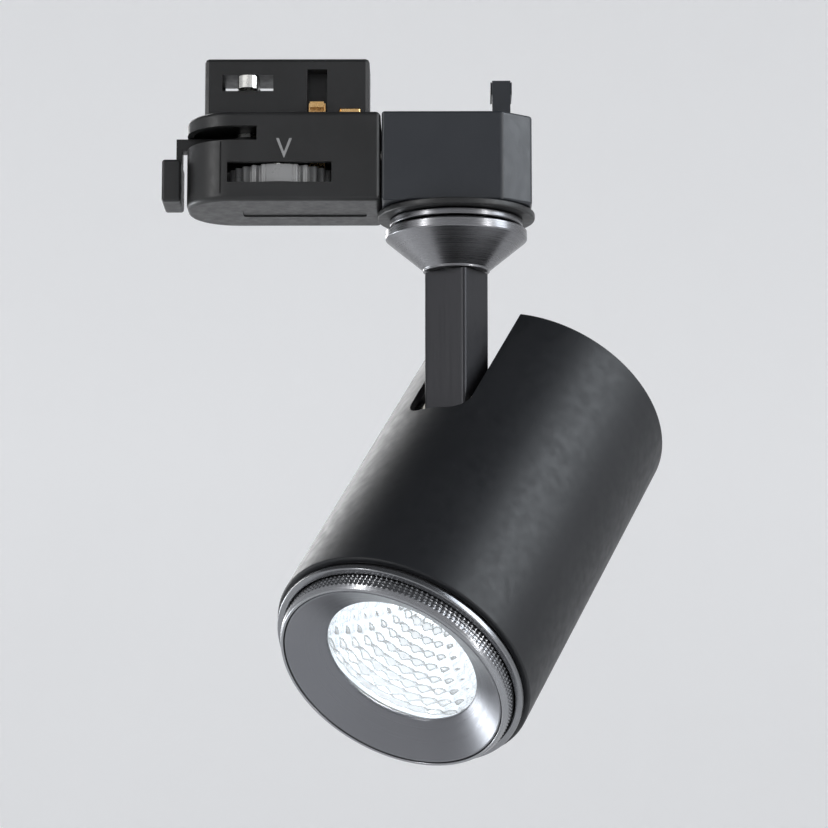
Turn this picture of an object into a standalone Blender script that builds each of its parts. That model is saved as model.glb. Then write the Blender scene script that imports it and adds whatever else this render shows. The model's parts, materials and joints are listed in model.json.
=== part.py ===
"""Track spotlight: a track adapter, a swivel with a square stem, and a cylindrical LED lamp head.

Metres, +Z up. The origin is on the face that seats against the underside of the lighting track, on the
vertical pan axis. The adapter's length runs along X, and the lamp hangs below.
"""

import math

import bmesh
import bpy

# Driving dimensions: adapter
ADAPTER_HEIGHT = 0.0274
ADAPTER_WIDTH = 0.036
NOSE_X = -0.0814
SEAM_X = -0.0225
BLOCK_END_X = 0.0227
BLOCK_CHAMFER = 0.0091
NOSE_RADIUS = 0.015
BLOCK_WALL = 0.0024
WALL = 0.002
GAP = 0.0003

# Driving dimensions: swivel and stem
PAN_HEADING = math.radians(35)
TILT_AT_REST = math.radians(42)
WASHER_RADIUS = 0.0238
COLLAR_RADIUS = 0.0214
COLLAR_TIP_RADIUS = 0.0101
COLLAR_DROP = 0.0183
STEM_WIDTH = 0.015
STEM_DEPTH = 0.013
PIVOT_DROP = 0.0622

# Driving dimensions: lamp head. Depths are measured back from the housing's front edge.
HEAD_RADIUS = 0.03975
HEAD_LENGTH = 0.112
HEAD_WALL = 0.0022
PIVOT_DEPTH = 0.075
PIVOT_OFFSET = 0.0298
SLOT_HALF_WIDTH = 0.011
SLOT_END_DEPTH = 0.067
SLOT_CORNER = 0.006
BEZEL_RADIUS = 0.036
BEZEL_BORE = 0.0342
BEZEL_PROTRUSION = 0.008
APERTURE_RADIUS = 0.0235
COVER_FRONT = 0.106
COVER_BACK = 0.1085
HOLDER_SCREW_X = 0.018

# Derived levels
UNDERSIDE = -ADAPTER_HEIGHT
HALF_WIDTH = ADAPTER_WIDTH / 2
FLOOR = UNDERSIDE + WALL + 0.0004
PIVOT_Z = UNDERSIDE - PIVOT_DROP
HEAD_BORE = HEAD_RADIUS - HEAD_WALL
FIT_RADIUS = HEAD_BORE - 0.00035

# Locking lever and phase selector
LEVER_X = -0.063
LEVER_TOP = -0.0049
LEVER_BOTTOM = -0.0085
LEVER_HALF_WIDTH = 0.0026
SHAFT_RADIUS = 0.0035
DIAL_X = -0.0529
DIAL_RADIUS = 0.0172
DIAL_TOP = -0.0159
DIAL_BOTTOM = -0.0215
DIAL_TEETH = 40
CONTACT_X = -0.042

# Hollow nipple that hangs the stem from the block
NIPPLE_RADIUS = 0.00495
NIPPLE_BORE = 0.0034
NIPPLE_HOLE = 0.00525

BOLT_RADIUS = 0.003
SCREW_RADIUS = 0.0014
SCREW_HEAD_RADIUS = 0.0027
SCREW_HOLE = 0.0017

# Cam wings and hook wing stand at the same level, just above the track's lips
LOCK_BOTTOM = 0.0094
LOCK_TOP = 0.0132

# How far a cutter runs out past the faces that it opens
PAST_SEAT = 0.01
PAST_SIDE = 0.03


def clear_scene():
    for old in list(bpy.data.objects):
        bpy.data.objects.remove(old, do_unlink=True)


def material(name, colour, roughness, metallic):
    made = bpy.data.materials.new(name)
    made.use_nodes = True
    shader = made.node_tree.nodes["Principled BSDF"]
    shader.inputs["Base Color"].default_value = (*colour, 1.0)
    shader.inputs["Roughness"].default_value = roughness
    shader.inputs["Metallic"].default_value = metallic
    return made


def empty(name, parent, location, rotation=(0, 0, 0)):
    made = bpy.data.objects.new(name, None)
    made.location = location
    made.rotation_euler = rotation
    made.parent = parent
    bpy.context.collection.objects.link(made)
    return made


def finish_mesh(name, bm, finish, parent, location=(0, 0, 0)):
    """Turns a bmesh into an object whose round faces are shaded smooth."""
    bmesh.ops.remove_doubles(bm, verts=bm.verts, dist=1e-7)
    bmesh.ops.recalc_face_normals(bm, faces=bm.faces)
    mesh = bpy.data.meshes.new(name)
    bm.to_mesh(mesh)
    bm.free()
    mesh.shade_smooth()
    mesh.set_sharp_from_angle(angle=math.radians(35))
    made = bpy.data.objects.new(name, mesh)
    made.parent = parent
    made.location = location
    if finish is None:
        made.hide_render = True
        made.display_type = "WIRE"
    else:
        mesh.materials.append(finish)
    bpy.context.collection.objects.link(made)
    return made


def turned(name, profile, finish, parent, location=(0, 0, 0), segments=48):
    """Turns a closed (radius, height) outline about Z. A point at radius 0 becomes one vertex."""
    bm = bmesh.new()
    rings = []
    for radius, height in profile:
        if radius < 1e-9:
            rings.append([bm.verts.new((0, 0, height))] * segments)
            continue
        ring = []
        for index in range(segments):
            angle = 2 * math.pi * (index + 0.5) / segments
            ring.append(bm.verts.new((radius * math.cos(angle), radius * math.sin(angle), height)))
        rings.append(ring)
    for first, second in zip(rings, rings[1:] + rings[:1]):
        for index in range(segments):
            following = (index + 1) % segments
            corners = [first[index], first[following], second[following], second[index]]
            corners = list(dict.fromkeys(corners))
            if len(corners) > 2:
                bm.faces.new(corners)
    return finish_mesh(name, bm, finish, parent, location)


def rod(name, radius, low, high, finish, parent, location=(0, 0, 0), segments=20):
    """A plain round bar along Z."""
    profile = [(0, low), (radius, low), (radius, high), (0, high)]
    return turned(name, profile, finish, parent, location, segments)


def tube(name, outer, inner, low, high, finish, parent, location=(0, 0, 0), segments=32):
    profile = [(outer, low), (outer, high), (inner, high), (inner, low)]
    return turned(name, profile, finish, parent, location, segments)


def prism(name, outline, low, high, finish, parent, location=(0, 0, 0)):
    """An (x, y) outline extruded along Z."""
    bm = bmesh.new()
    base = bm.faces.new([bm.verts.new((x, y, low)) for x, y in outline])
    grown = bmesh.ops.extrude_face_region(bm, geom=[base])
    top = [item for item in grown["geom"] if isinstance(item, bmesh.types.BMVert)]
    bmesh.ops.translate(bm, verts=top, vec=(0, 0, high - low))
    return finish_mesh(name, bm, finish, parent, location)


def box(name, low, high, finish, parent):
    """A block between two corners. Its origin is its parent's, so it needs no location."""
    outline = [(low[0], low[1]), (high[0], low[1]), (high[0], high[1]), (low[0], high[1])]
    return prism(name, outline, low[2], high[2], finish, parent)


def hexagon(across_flats):
    radius = across_flats / math.sqrt(3)
    corners = [math.radians(60 * index) for index in range(6)]
    return [(radius * math.cos(angle), radius * math.sin(angle)) for angle in corners]


def arc(centre, radius, start, end, steps):
    """Points of an arc, angles in degrees."""
    points = []
    for index in range(steps + 1):
        angle = math.radians(start + (end - start) * index / steps)
        points.append((centre[0] + radius * math.cos(angle), centre[1] + radius * math.sin(angle)))
    return points


def cut(target, cutter, operation="DIFFERENCE"):
    boolean = target.modifiers.new(f"{operation.lower()}_{cutter.name}", "BOOLEAN")
    boolean.operation = operation
    boolean.solver = "EXACT"
    boolean.object = cutter


def bevel(target, width, segments=2, angle=40):
    made = target.modifiers.new("edge_round", "BEVEL")
    made.width = width
    made.segments = segments
    made.limit_method = "ANGLE"
    made.angle_limit = math.radians(angle)
    made.use_clamp_overlap = True


def smooth_through(points, per_span):
    """A Catmull-Rom curve through the points of a lead's route."""
    padded = [points[0]] + points + [points[-1]]
    route = []
    for index in range(1, len(padded) - 2):
        before, start, end, after = padded[index - 1 : index + 3]
        for step in range(per_span):
            t = step / per_span
            route.append(
                tuple(
                    0.5
                    * (
                        2 * b
                        + (c - a) * t
                        + (2 * a - 5 * b + 4 * c - d) * t**2
                        + (3 * b - a - 3 * c + d) * t**3
                    )
                    for a, b, c, d in zip(before, start, end, after)
                )
            )
    route.append(tuple(points[-1]))
    return route


def lead(name, points, radius, finish, parent):
    """A round lead along a smooth route."""
    curve = bpy.data.curves.new(name, "CURVE")
    curve.dimensions = "3D"
    curve.bevel_depth = radius
    curve.bevel_resolution = 2
    curve.use_fill_caps = True
    route = smooth_through(points, 3)
    spline = curve.splines.new("POLY")
    spline.points.add(len(route) - 1)
    for point, place in zip(spline.points, route):
        point.co = (*place, 1)
    curve.materials.append(finish)
    made = bpy.data.objects.new(name, curve)
    made.parent = parent
    bpy.context.collection.objects.link(made)
    return made


def nose_outline(inset, right):
    """Plan of the black module: a blunt rounded nose on the left, square on the right."""
    radius = NOSE_RADIUS - inset
    left = NOSE_X + inset
    half = HALF_WIDTH - inset
    lower = arc((left + radius, -half + radius), radius, 180, 270, 6)
    upper = arc((left + radius, half - radius), radius, 90, 180, 6)
    return lower + [(right, -half), (right, half)] + upper


def block_outline(inset):
    """Plan of the supply block: square at the seam, chamfered corners at the far end."""
    left = SEAM_X + GAP / 2 + inset
    right = BLOCK_END_X - inset
    half = HALF_WIDTH - inset
    chamfer_x = BLOCK_CHAMFER - inset * 0.4
    chamfer_y = BLOCK_CHAMFER * 0.75 - inset * 0.4
    return [
        (left, -half),
        (right - chamfer_x, -half),
        (right, -half + chamfer_y),
        (right, half - chamfer_y),
        (right - chamfer_x, half),
        (left, half),
    ]


def make_module(root, plastic):
    """Black plastic shell, open at the top, with a dial window on each side and the lever's swing slot."""
    right = SEAM_X - GAP / 2
    body = prism("adapter_body", nose_outline(0, right), UNDERSIDE, 0, plastic, root)
    outer_edge = 0.0016
    bevel(body, outer_edge, 2, 60)
    hollow = prism("cutter_module", nose_outline(WALL, right - WALL), FLOOR, PAST_SEAT, None, root)
    cut(body, hollow)
    window_half = 0.0156
    window = box(
        "cutter_dial_window",
        (DIAL_X - window_half, -PAST_SIDE, DIAL_BOTTOM - GAP),
        (DIAL_X + window_half, PAST_SIDE, DIAL_TOP + GAP),
        None,
        root,
    )
    cut(body, window)
    level_margin = 0.0004
    side_margin = 0.0007
    swing = box(
        "cutter_lever_swing",
        (NOSE_X - PAST_SIDE, -PAST_SIDE, LEVER_BOTTOM - level_margin),
        (
            LEVER_X + LEVER_HALF_WIDTH + side_margin,
            LEVER_HALF_WIDTH + side_margin,
            LEVER_TOP + level_margin,
        ),
        None,
        root,
    )
    cut(body, swing)
    return body


def make_tongue(root, plastic):
    """Base plate that closes the module, and the tongue that rises into the track."""
    right = SEAM_X - GAP / 2 - WALL - GAP
    plate_bottom = -0.0033
    tongue = prism("contact_tongue", nose_outline(WALL + GAP, right), plate_bottom, 0, plastic, root)
    riser_left, riser_right = -0.076, -0.0262
    riser_half = 0.008
    riser_top = 0.019
    riser_edge = 0.0012
    riser_low = (riser_left, -riser_half, plate_bottom / 3)
    riser = box("cutter_tongue_riser", riser_low, (riser_right, riser_half, riser_top), None, root)
    bevel(riser, riser_edge, 2, 60)
    cut(tongue, riser, "UNION")
    cam_reach = 0.0112
    cam_margin = 0.0006
    shaft_axis = (LEVER_X, 0, 0)
    shaft_low, shaft_high = 2 * plate_bottom, 0.0105
    cut(tongue, rod("cutter_shaft_hole", SHAFT_RADIUS + GAP, shaft_low, shaft_high, None, root, shaft_axis))
    space_low, space_high = LOCK_BOTTOM - cam_margin, LOCK_TOP + cam_margin
    cut(tongue, rod("cutter_cam_space", cam_reach, space_low, space_high, None, root, shaft_axis, 24))
    slot_half = 0.003
    slot_front, slot_back = -0.009, -0.0026
    slot_top = 0.0155
    rise = box(
        "cutter_contact_slot",
        (CONTACT_X - slot_half, slot_front, 2 * plate_bottom),
        (CONTACT_X + slot_half, slot_back, slot_top),
        None,
        root,
    )
    cut(tongue, rise)
    for name, low, high in blade_places():
        wide_low = tuple(value - GAP for value in low)
        wide_high = tuple(value + GAP for value in high)
        cut(tongue, box(f"cutter_{name}", wide_low, wide_high, None, root))
    return tongue


def blade_places():
    """The fixed contact blades in the tongue: name, low corner, high corner."""
    return [
        ("neutral_contact", (-0.046, 0.003, 0.007), (-0.038, 0.0105, 0.0086)),
        ("earth_contact_left", (-0.035, -0.0096, 0.0014), (-0.029, -0.005, 0.003)),
        ("earth_contact_right", (-0.035, 0.005, 0.0014), (-0.029, 0.0096, 0.003)),
    ]


def make_contacts(root, brass):
    for name, low, high in blade_places():
        bevel(box(name, low, high, brass, root), 0.0003, 1)
    carrier = box(
        "phase_contact",
        (CONTACT_X - 0.0025, -0.0075, -0.0145),
        (CONTACT_X + 0.0025, -0.003, 0.005),
        brass,
        root,
    )
    blade = box(
        "cutter_phase_blade",
        (CONTACT_X - 0.0021, -0.0105, 0.0031),
        (CONTACT_X + 0.0021, -0.0065, 0.0048),
        None,
        root,
    )
    cut(carrier, blade, "UNION")


def make_lever(root, plastic, steel):
    """Locking lever: hub and arm above, finger tab hanging at the nose, and the locking cam on its shaft."""
    tab_inner = -0.083
    tab_outer = -0.0888
    tab_half = 0.008
    tab_bottom = UNDERSIDE + 0.002
    tab_top = UNDERSIDE + 0.0151
    tab_edge = 0.0008
    neck = 0.0018
    hub_radius = 0.0054
    hub_meets_arm = 0.0045
    pivot = empty("lever_axis", root, (LEVER_X, 0, 0))
    arm = [
        (tab_inner - neck - LEVER_X, -LEVER_HALF_WIDTH),
        (-hub_meets_arm, -LEVER_HALF_WIDTH),
        *arc((0, 0), hub_radius, -150, 150, 10),
        (-hub_meets_arm, LEVER_HALF_WIDTH),
        (tab_inner - neck - LEVER_X, LEVER_HALF_WIDTH),
    ]
    lever = prism("lock_lever", arm, LEVER_BOTTOM, LEVER_TOP, plastic, pivot)
    neck_box = box(
        "cutter_lever_neck",
        (tab_inner - neck - LEVER_X, -LEVER_HALF_WIDTH, tab_top - 0.002),
        (tab_inner - LEVER_X, LEVER_HALF_WIDTH, LEVER_TOP),
        None,
        pivot,
    )
    cut(lever, neck_box, "UNION")
    tab = box(
        "cutter_lever_tab",
        (tab_outer - LEVER_X, -tab_half, tab_bottom),
        (tab_inner - LEVER_X, tab_half, tab_top),
        None,
        pivot,
    )
    bevel(tab, tab_edge, 2)
    cut(lever, tab, "UNION")
    bore = rod("cutter_lever_bore", SHAFT_RADIUS + GAP, UNDERSIDE, PAST_SEAT, None, pivot)
    cut(lever, bore)
    shaft_bottom = LEVER_BOTTOM - 0.0008
    shaft_top = 0.011
    cam_profile = [
        (0, shaft_bottom),
        (SHAFT_RADIUS, shaft_bottom),
        (SHAFT_RADIUS, shaft_top),
        (0, shaft_top),
    ]
    cam = turned("lock_cam", cam_profile, steel, pivot, segments=20)
    wing_centre = 0.0075
    wing_radius = 0.003
    wings = arc((0, wing_centre), wing_radius, 0, 180, 6)
    wings += arc((0, -wing_centre), wing_radius, 180, 360, 6)
    cut(cam, prism("cutter_cam_wings", wings, LOCK_BOTTOM, LOCK_TOP, None, pivot), "UNION")


def make_dial(root, plastic, steel):
    """Knurled thumb wheel with a plain index pad at the front, on its own spindle."""
    pivot = empty("dial_axis", root, (DIAL_X, 0, 0))
    tooth_depth = 0.0008
    plain_teeth = 3
    outline = []
    for tooth in range(DIAL_TEETH):
        middle = 270 + 360 * tooth / DIAL_TEETH
        quarter = 90 / DIAL_TEETH
        near_front = min(tooth, DIAL_TEETH - tooth) < plain_teeth
        low = DIAL_RADIUS if near_front else DIAL_RADIUS - tooth_depth
        for offset, radius in ((-1.6, low), (-0.8, DIAL_RADIUS), (0.8, DIAL_RADIUS), (1.6, low)):
            angle = math.radians(middle + offset * quarter)
            outline.append((radius * math.cos(angle), radius * math.sin(angle)))
    dial = prism("phase_dial", outline, DIAL_BOTTOM, DIAL_TOP, plastic, pivot)
    spindle_radius = 0.0025
    spindle_top = -0.0105
    cut(dial, rod("cutter_dial_bore", spindle_radius + GAP, UNDERSIDE, 0, None, pivot))
    rod("dial_spindle", spindle_radius, FLOOR + GAP, spindle_top, steel, pivot, segments=16)


def make_block(root, metal):
    """Dark metal block that carries the swivel, its lid and the fixed hook on the lid."""
    block = prism("supply_block", block_outline(0), UNDERSIDE, 0, metal, root)
    block_edge = 0.0005
    bevel(block, block_edge, 1, 30)
    hollow = prism("cutter_block", block_outline(BLOCK_WALL), FLOOR, PAST_SEAT, None, root)
    cut(block, hollow)
    hole_low, hole_high = UNDERSIDE - WALL, FLOOR + WALL
    cut(block, rod("cutter_nipple_hole", NIPPLE_HOLE, hole_low, hole_high, None, root, segments=24))
    lid_bottom = -0.003
    lid_edge = 0.0003
    lid = prism("block_lid", block_outline(BLOCK_WALL + GAP), lid_bottom, 0, metal, root)
    bevel(lid, lid_edge, 1)
    make_hook(root, lid, lid_bottom, metal)
    return block


def make_hook(root, lid, lid_bottom, metal):
    """Fixed hook: a foot under the lid, a shank up through it, and a wing over the track's lip."""
    near, far = 0.011, 0.0165
    half = 0.003
    foot_bottom = lid_bottom - 0.0026
    foot_margin = 0.0015
    hook = box("track_hook", (near, -half, foot_bottom), (far, half, LOCK_TOP), metal, root)
    foot = box(
        "cutter_hook_foot",
        (near - foot_margin, -half - foot_margin, foot_bottom),
        (far + foot_margin, half + foot_margin, lid_bottom - GAP),
        None,
        root,
    )
    cut(hook, foot, "UNION")
    wing_margin = 0.0005
    wing_back = 0.0105
    wing = box(
        "cutter_hook_wing",
        (near - wing_margin, -half / 3, LOCK_BOTTOM),
        (far + wing_margin, wing_back, LOCK_TOP),
        None,
        root,
    )
    cut(hook, wing, "UNION")
    passage = box(
        "cutter_hook_passage",
        (near - GAP, -half - GAP, lid_bottom - WALL),
        (far + GAP, half + GAP, WALL),
        None,
        root,
    )
    cut(lid, passage)


def make_block_fittings(root, ivory, cord):
    """Terminals, the two screws that join block and module, and the lead to the swivel."""
    terminals_low = (-0.0186, -0.011, -0.0215)
    terminals_high = (-0.0096, 0.011, -0.012)
    terminals_edge = 0.0005
    terminals = box("terminal_block", terminals_low, terminals_high, ivory, root)
    bevel(terminals, terminals_edge, 1)
    start = ((terminals_low[0] + terminals_high[0]) / 2, 0, -0.0112)
    rise = 0.0048
    half_span = -start[0] / 2
    nipple_entry = -0.0134
    lead_radius = 0.0016
    route = [start]
    for step in range(1, 5):
        angle = math.pi * step / 5
        route.append((start[0] + half_span * (1 - math.cos(angle)), 0, start[2] + rise * math.sin(angle)))
    route += [(0, 0, start[2]), (0, 0, nipple_entry)]
    lead("supply_lead", route, lead_radius, cord, root)


def make_body_screws(root, body, block, steel):
    """Screws along X through the module's end wall into the block's."""
    off_centre = 0.0125
    level = -0.0125
    head_radius = 0.0026
    tip = -0.0192
    inner_wall = SEAM_X - GAP / 2 - WALL
    head_back = inner_wall - GAP - 0.0018
    for number, side in ((1, -1), (2, 1)):
        place = (0, off_centre * side, level)
        holder = empty(f"body_screw_{number}_axis", root, place, (0, math.radians(90), 0))
        profile = [
            (0, head_back),
            (head_radius, head_back),
            (head_radius, inner_wall - GAP),
            (SCREW_RADIUS, inner_wall - GAP),
            (SCREW_RADIUS, tip),
            (0, tip),
        ]
        turned(f"body_screw_{number}", profile, steel, holder, segments=14)
        hole_name = f"cutter_body_screw_{number}"
        hole = rod(hole_name, SCREW_HOLE, inner_wall - WALL, tip + WALL / 2, None, holder, segments=14)
        cut(body, hole)
        cut(block, hole)


def make_swivel(root, pan, black, gunmetal, steel):
    """Black friction disc on the block, then the parts that turn: neck, cone collar, nipple and nut."""
    disc_top = UNDERSIDE - GAP
    disc_bottom = UNDERSIDE - 0.0023
    chamfer = 0.0005
    disc = [
        (NIPPLE_HOLE, disc_top),
        (WASHER_RADIUS, disc_top),
        (WASHER_RADIUS, disc_bottom + chamfer),
        (WASHER_RADIUS - chamfer, disc_bottom),
        (NIPPLE_HOLE, disc_bottom),
    ]
    turned("swivel_washer", disc, black, root, segments=40)
    neck_top = disc_bottom - GAP
    neck_bottom = UNDERSIDE - 0.0046
    neck_radius = 0.0201
    neck_edge = 0.0003
    neck = [
        (NIPPLE_HOLE, neck_top),
        (neck_radius - neck_edge, neck_top),
        (neck_radius, neck_top - neck_edge),
        (neck_radius, neck_bottom),
        (NIPPLE_HOLE, neck_bottom),
    ]
    turned("neck_ring", neck, gunmetal, pan, segments=32)
    collar_top = neck_bottom - GAP
    collar_tip = UNDERSIDE - COLLAR_DROP
    collar = [
        (NIPPLE_HOLE, collar_top),
        (0.0188, collar_top),
        (0.019, collar_top - 0.0006),
        (COLLAR_RADIUS - 0.0004, collar_top - 0.0007),
        (COLLAR_RADIUS, collar_top - 0.0011),
        (COLLAR_RADIUS, collar_top - 0.0031),
        (COLLAR_RADIUS - 0.0004, collar_top - 0.0036),
        (COLLAR_TIP_RADIUS + 0.0004, collar_tip + 0.0007),
        (COLLAR_TIP_RADIUS, collar_tip),
        (NIPPLE_HOLE, collar_tip),
    ]
    turned("swivel_collar", collar, gunmetal, pan, segments=40)
    nipple_top = -0.0145
    nipple_bottom = collar_tip - 0.008
    tube("swivel_nipple", NIPPLE_RADIUS, NIPPLE_BORE, nipple_bottom, nipple_top, steel, pan, segments=20)
    washer_bottom = FLOOR + GAP
    washer_top = washer_bottom + 0.0014
    washer_outer = 0.009
    tube("spring_washer", washer_outer, NIPPLE_HOLE, washer_bottom, washer_top, steel, pan, segments=24)
    nut_bottom = washer_top + GAP
    nut_top = nut_bottom + 0.0035
    across_flats = 0.014
    nut = prism("nipple_nut", hexagon(across_flats), nut_bottom, nut_top, steel, pan)
    cut(nut, rod("cutter_nut_bore", NIPPLE_HOLE, nut_bottom - WALL, nut_top + WALL, None, pan, segments=20))


def make_stem(pan, dark, cord):
    """Rectangular hollow bar with a rounded lower end around the tilt axis."""
    top = UNDERSIDE - COLLAR_DROP - GAP
    half_width = STEM_WIDTH / 2
    half_depth = STEM_DEPTH / 2
    corner = 0.0011
    outline = []
    for x_sign, y_sign, start in ((1, -1, 270), (1, 1, 0), (-1, 1, 90), (-1, -1, 180)):
        centre = (x_sign * (half_width - corner), y_sign * (half_depth - corner))
        outline += arc(centre, corner, start, start + 90, 2)
    stem = prism("stem", outline, PIVOT_Z, top, dark, pan)
    lower_end = rod("cutter_stem_end", half_depth, -half_width, half_width, None, pan, (0, 0, PIVOT_Z), 24)
    lower_end.rotation_euler = (0, math.radians(90), 0)
    end_edge = 0.0008
    bevel(lower_end, end_edge, 1, 60)
    cut(stem, lower_end, "UNION")
    socket_bottom = top - 0.0085
    socket = rod("cutter_stem_socket", NIPPLE_HOLE, socket_bottom, top + PAST_SEAT, None, pan, segments=20)
    cut(stem, socket)
    channel_radius = 0.0029
    channel_end = PIVOT_Z + 0.0105
    cut(stem, rod("cutter_stem_channel", channel_radius, channel_end, top, None, pan, segments=14))
    exit_z = PIVOT_Z + 0.0134
    exit_radius = 0.0024
    exit_hole = rod("cutter_stem_exit", exit_radius, 0, STEM_DEPTH, None, pan, (0, 0, exit_z), 14)
    exit_hole.rotation_euler = (math.radians(-90), 0, 0)
    cut(stem, exit_hole)
    bolt_place = (0, 0, PIVOT_Z)
    bolt_hole = rod("cutter_stem_bolt", BOLT_RADIUS + GAP, -STEM_WIDTH, STEM_WIDTH, None, pan, bolt_place, 20)
    bolt_hole.rotation_euler = (0, math.radians(90), 0)
    cut(stem, bolt_hole)
    route = [
        (0, 0, -0.0138),
        (0, 0, -0.03),
        (0, 0, -0.045),
        (0, 0, PIVOT_Z + 0.024),
        (0, 0.0004, exit_z + 0.0045),
        (0, 0.0026, exit_z + 0.0005),
        (0, 0.0062, exit_z),
    ]
    lead_radius = 0.0015
    lead("stem_lead", route, lead_radius, cord, pan)


def make_tilt_joint(tilt, steel, nylon):
    """Bolt, nut and friction washers on the tilt axis, which is the tilt frame's X."""
    half = STEM_WIDTH / 2
    cheek_out = 0.0109
    along_x = (0, math.radians(90), 0)
    holder = empty("pivot_pin_axis", tilt, (0, 0, 0), along_x)
    bolt_end = -0.0142
    head_low = cheek_out + GAP
    head_high = head_low + 0.0024
    head_radius = 0.004
    profile = [
        (0, bolt_end),
        (BOLT_RADIUS, bolt_end),
        (BOLT_RADIUS, head_low),
        (head_radius, head_low),
        (head_radius, head_high),
        (0, head_high),
    ]
    turned("pivot_bolt", profile, steel, holder, segments=20)
    nut_high = -cheek_out - GAP
    nut_low = nut_high - 0.0025
    across_flats = 0.0075
    nut = prism("pivot_nut", hexagon(across_flats), nut_low, nut_high, steel, holder)
    cut(nut, rod("cutter_pivot_nut", BOLT_RADIUS + GAP, nut_low - WALL, 0, None, holder, segments=16))
    washer_radius = 0.0058
    washer_thickness = 0.0009
    near = half + GAP
    for name, side in (("friction_washer_left", -1), ("friction_washer_right", 1)):
        low, high = sorted((side * near, side * (near + washer_thickness)))
        tube(name, washer_radius, BOLT_RADIUS + GAP, low, high, nylon, holder, segments=20)


def make_bracket(head, steel):
    """Clevis inside the head: a base plate on the heat sink and two cheeks beside the stem."""
    inner = 0.0090
    outer = 0.0109
    base_low = 0.0643
    base_high = 0.0666
    top_y = -0.0348
    base_end_y = -0.008
    cheek_foot = base_low + 0.0005
    eye_radius = 0.0054
    eye_centre = (PIVOT_DEPTH, -PIVOT_OFFSET + 0.0004)
    bracket = box("pivot_bracket", (-outer, top_y, base_low), (outer, base_end_y, base_high), steel, head)
    for side in (-1, 1):
        low, high = sorted((side * inner, side * outer))
        outline = [(cheek_foot, top_y), (cheek_foot, -0.02), (PIVOT_DEPTH, -0.0225)]
        outline += arc(eye_centre, eye_radius, 90, -90, 8)[1:]
        name = "cutter_cheek_right" if side > 0 else "cutter_cheek_left"
        # The outline is drawn as (depth, y) and stood up so that its extrusion runs along X.
        upright = [(-depth, y) for depth, y in outline]
        cheek = prism(name, upright, low, high, None, head)
        cheek.rotation_euler = (0, math.radians(90), 0)
        cut(bracket, cheek, "UNION")
    bore_place = (0, -PIVOT_OFFSET, PIVOT_DEPTH)
    bore = rod("cutter_bracket_bore", BOLT_RADIUS + GAP, -2 * outer, 2 * outer, None, head, bore_place, 20)
    bore.rotation_euler = (0, math.radians(90), 0)
    cut(bracket, bore)
    return bracket


def make_housing(head, metal):
    """Slotted cylinder. The stem swings in the slot, which is open at the back."""
    edge = 0.0006
    profile = [
        (HEAD_BORE, 0),
        (HEAD_RADIUS - edge, 0),
        (HEAD_RADIUS, edge),
        (HEAD_RADIUS, HEAD_LENGTH - 2 * edge),
        (HEAD_RADIUS - 0.6 * edge, HEAD_LENGTH - 0.6 * edge),
        (HEAD_RADIUS - 2 * edge, HEAD_LENGTH),
        (HEAD_BORE, HEAD_LENGTH),
    ]
    housing = turned("head_housing", profile, metal, head, segments=56)
    boss_radius = 0.0036
    boss_low, boss_high = 0.094, COVER_FRONT - GAP
    hole_low = 0.0965
    outward = 1.03
    for number, (x, y) in enumerate(cover_screw_places(), 1):
        boss_centre = (x * outward, y * outward, 0)
        boss = rod(f"cutter_boss_{number}", boss_radius, boss_low, boss_high, None, head, boss_centre, 16)
        cut(housing, boss, "UNION")
        hole_name = f"cutter_boss_hole_{number}"
        cut(housing, rod(hole_name, SCREW_HOLE, hole_low, COVER_BACK, None, head, (x, y, 0), 12))
    corner_x = SLOT_HALF_WIDTH - SLOT_CORNER
    corner_depth = SLOT_END_DEPTH + SLOT_CORNER
    outline = arc((-corner_x, corner_depth), SLOT_CORNER, 180, 270, 6)
    outline += arc((corner_x, corner_depth), SLOT_CORNER, 270, 360, 6)
    past_back = HEAD_LENGTH + PAST_SEAT
    outline += [(SLOT_HALF_WIDTH, past_back), (-SLOT_HALF_WIDTH, past_back)]
    slot = prism("cutter_slot", outline, 0.6 * HEAD_RADIUS, HEAD_RADIUS + PAST_SEAT, None, head)
    slot.rotation_euler = (math.radians(90), 0, 0)
    cut(housing, slot)
    return housing


def cover_screw_places():
    """Three places on one circle, clear of the slot, which is on the -Y side."""
    circle = 0.0334
    return [(circle * math.cos(math.radians(a)), circle * math.sin(math.radians(a))) for a in (90, 205, 335)]


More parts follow.
